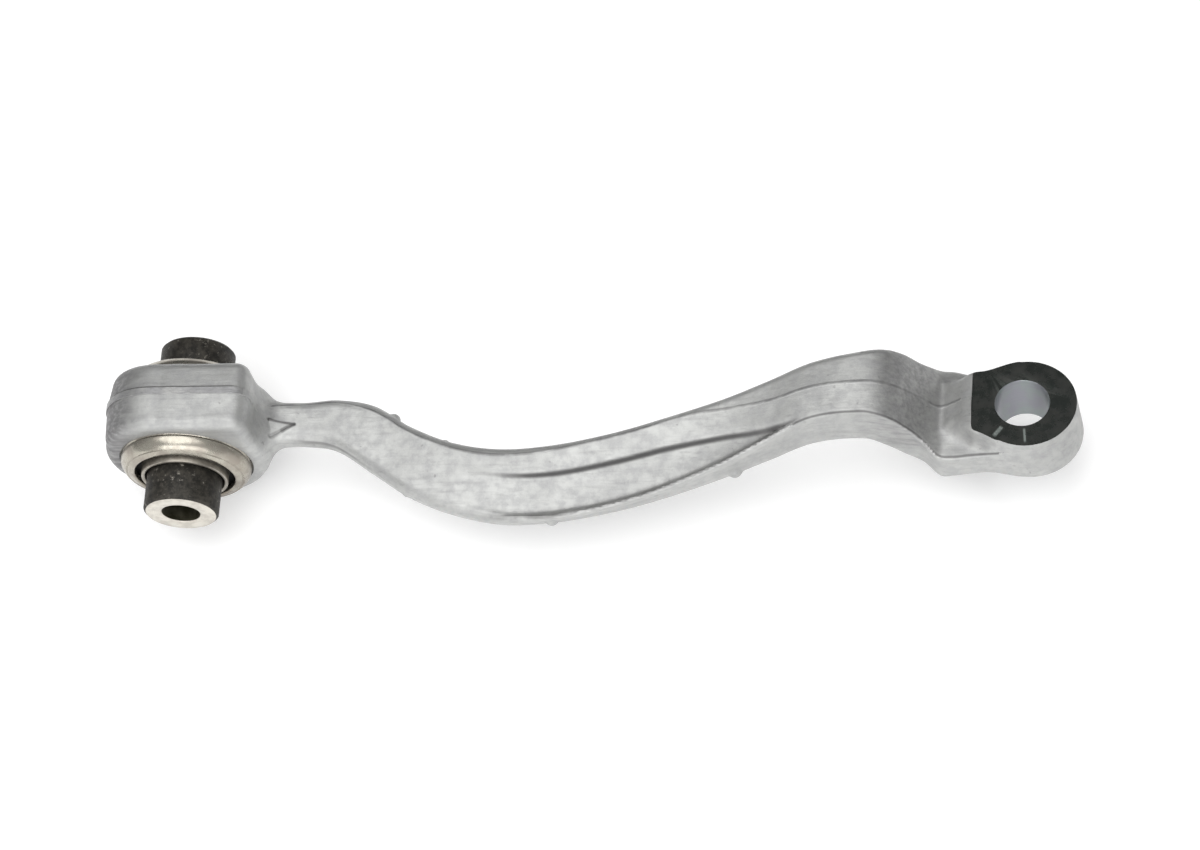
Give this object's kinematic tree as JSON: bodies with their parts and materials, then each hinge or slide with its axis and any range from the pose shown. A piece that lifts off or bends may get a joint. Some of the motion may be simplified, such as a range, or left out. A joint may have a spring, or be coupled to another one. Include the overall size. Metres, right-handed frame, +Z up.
{
  "type": "suspension control arm",
  "caption": "Forged alloy suspension arm, S-curved, with a barrel eye holding a bonded rubber bush and a plain milled bolt eye.",
  "frame": {"origin": "the middle of the bush's bolt bore, on its axis", "axes": "+Y along the bolt bore, +X towards the plain eye along the arm, +Z up, the way the plain eye's upper milled face looks"},
  "size_m": [0.3578, 0.0704, 0.0618],
  "materials": {
    "forged_alloy": "shot-blasted forging, matte, with milled faces at the plain eye",
    "bright_steel": "smooth rolled steel, satin",
    "dull_steel": "thin drawn steel, dull",
    "coated_steel": "dark mottled bonding coat, end faces machined bright",
    "rubber": "matte natural rubber"
  },
  "bodies": {
    "link": {"arm": "forged_alloy", "outer_sleeve": "bright_steel", "outer_rubber": "rubber"},
    "bush_middle": {"middle_sleeve": "dull_steel", "inner_rubber": "rubber"},
    "bush_core": {"inner_sleeve": "coated_steel"}
  },
  "joints": [
    {"name": "bush_tilt", "type": "hinge", "parent": "link", "child": "bush_middle", "pos_m": [0, 0, 0], "axis": [0, 0, 1], "range_deg": [-4, 4], "stiffness_Nm_per_rad": 400, "deforming": ["outer_rubber"]},
    {"name": "bush_twist", "type": "hinge", "parent": "bush_middle", "child": "bush_core", "pos_m": [0, 0, 0], "axis": [0, 1, 0], "range_deg": [-20, 20], "stiffness_Nm_per_rad": 100, "deforming": ["inner_rubber"]}
  ]
}
